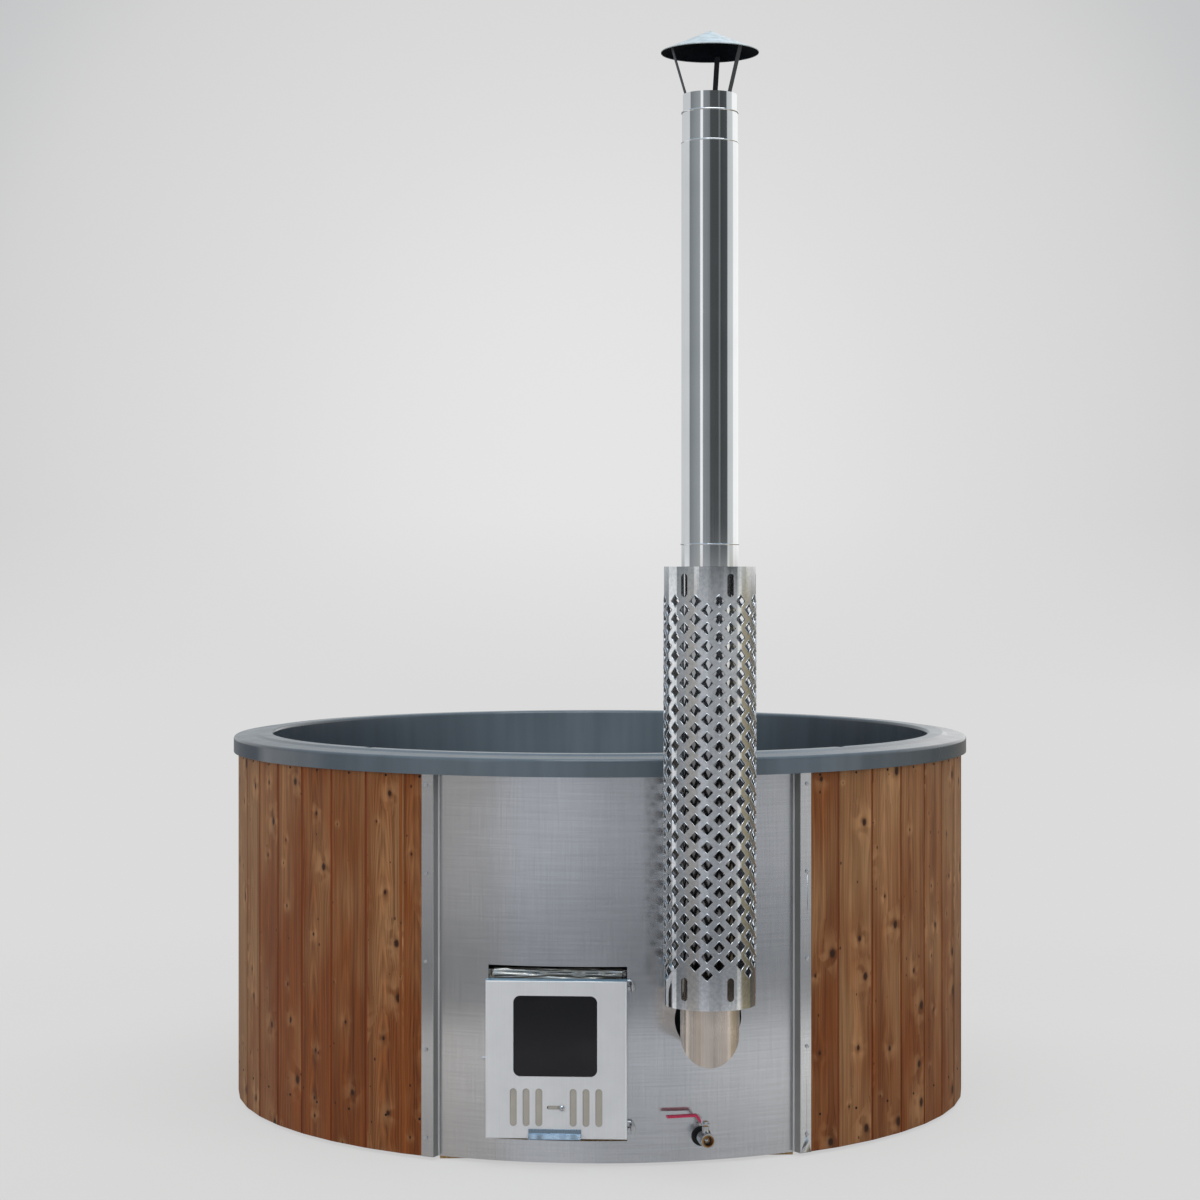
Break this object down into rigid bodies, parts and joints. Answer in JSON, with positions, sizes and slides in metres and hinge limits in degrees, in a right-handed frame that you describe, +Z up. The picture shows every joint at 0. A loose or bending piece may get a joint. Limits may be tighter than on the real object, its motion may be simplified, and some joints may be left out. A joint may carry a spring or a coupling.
{
  "type": "wooden hot tub with built-in wood stove",
  "caption": "Round moulded tub clad in upright boards, with a built-in wood stove behind a steel panel, an upright flue in a perforated guard and a drain valve.",
  "frame": {"origin": "on the tub's axis, on the ground under the base beams", "axes": "+Z up along the tub's axis; -Y out through the middle of the steel front panel; +X to the right as seen from the front"},
  "size_m": [1.968, 2.1878, 2.631],
  "materials": {
    "grp": "satin",
    "thermowood": "oiled",
    "softwood": "sawn",
    "panel_steel": "satin",
    "trim_steel": "satin",
    "zinc": "zinc plated",
    "black_steel": "matt",
    "fibre_cement": "matt",
    "stove_steel": "mill",
    "cast_iron": "cast",
    "foil": "foil faced",
    "rope": "braided",
    "door_steel": "brushed",
    "flue_steel": "polished",
    "elbow_steel": "satin",
    "guard_steel": "polished",
    "hat_steel": "satin",
    "pipe_steel": "drawn",
    "brass": "turned",
    "rubber": "matt",
    "valve_chrome": "bright",
    "ptfe": "matt",
    "grip": "dipped",
    "stove_glass": "smoked",
    "gasket_tape": "woven"
  },
  "bodies": {
    "tub": {"liner": "grp", "front_panel": "panel_steel", "trim_left": "trim_steel", "trim_right": "trim_steel", "trim_screws": "zinc", "cladding_1": "thermowood", "cladding_2": "thermowood", "cladding_3": "thermowood", "cladding_4": "thermowood", "cladding_5": "thermowood", "cladding_nails": "black_steel", "base_beams": "softwood", "lower_hoop": "softwood", "upper_hoop": "softwood", "wall_studs": "softwood", "heat_board": "fibre_cement", "stove_jacket": "stove_steel", "firebox": "stove_steel", "fire_grate": "cast_iron", "smoke_baffle": "stove_steel", "door_neck": "stove_steel", "neck_wrap": "foil", "door_rope": "rope", "hinge_eyes": "door_steel", "catch_clip": "door_steel", "water_pipe_lower": "pipe_steel", "water_pipe_upper": "pipe_steel", "pipe_flanges": "pipe_steel", "flue_elbow": "elbow_steel", "flue_lower": "flue_steel", "flue_upper": "flue_steel", "flue_collar": "flue_steel", "hat_legs": "black_steel", "rain_hat": "hat_steel", "heat_guard": "guard_steel", "drain_pipe": "pipe_steel", "drain_locknut": "brass", "drain_grommet": "rubber", "valve_body": "valve_chrome", "valve_end": "brass", "valve_seats": "ptfe", "gland_nut": "valve_chrome"},
    "door": {"door_panel": "door_steel", "door_glass": "stove_glass", "glass_gasket": "gasket_tape", "glass_clips": "zinc", "door_handle": "door_steel", "hinge_pintles": "door_steel", "catch_stud": "door_steel", "slide_guides": "zinc"},
    "air_slide": {"slide_plate": "panel_steel", "slide_knob": "zinc"},
    "drain_handle": {"valve_ball": "valve_chrome", "valve_stem": "pipe_steel", "valve_lever": "zinc", "lever_sleeve": "grip", "lever_nut": "zinc"}
  },
  "joints": [
    {"name": "door_hinge", "type": "hinge", "parent": "tub", "child": "door", "pos_m": [0.03056, -0.96247, 0.264], "axis": [0, 0, 1], "range_deg": [0, 100]},
    {"name": "air_slide_travel", "type": "slide", "parent": "door", "child": "air_slide", "axis": [-0.9945, 0.1045, 0], "range_m": [0, 0.03]},
    {"name": "drain_valve_turn", "type": "hinge", "parent": "tub", "child": "drain_handle", "pos_m": [0.20059, -0.96436, 0.066], "axis": [0, 0, 1], "range_deg": [0, 90]}
  ]
}
